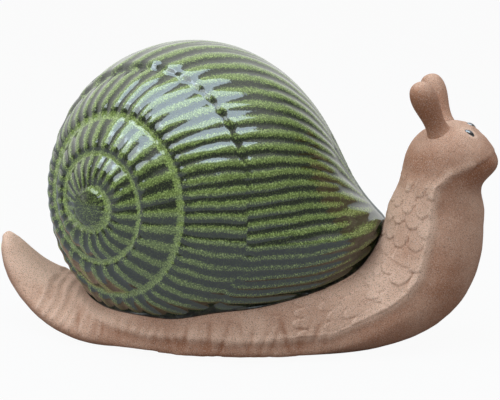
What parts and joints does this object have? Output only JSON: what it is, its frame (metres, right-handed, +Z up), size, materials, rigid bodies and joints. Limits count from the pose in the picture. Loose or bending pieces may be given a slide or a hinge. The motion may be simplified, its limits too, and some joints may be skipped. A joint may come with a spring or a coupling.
{
  "type": "snail figurine",
  "caption": "Garden snail figurine with a coiled, ribbed, glazed shell bedded on an unglazed clay body with tentacles and eyes; stands on its flat foot.",
  "frame": {"origin": "on the ground, in the middle of the flat foot under the snail's midplane", "axes": "+X towards the head, +Y to the snail's left, +Z up"},
  "size_m": [0.3029, 0.1649, 0.1768],
  "materials": {
    "clay": "unglazed, matt, finely speckled",
    "glaze": "green glaze, glossy, broken over the ribs",
    "bedding": "dark glazed seam",
    "eye": "black, glossy"
  },
  "bodies": {
    "root": {"body": "clay", "shell": "glaze", "shell_bedding": "bedding", "tentacle_left": "clay", "tentacle_right": "clay", "eye_left": "eye", "eye_right": "eye"}
  },
  "joints": []
}
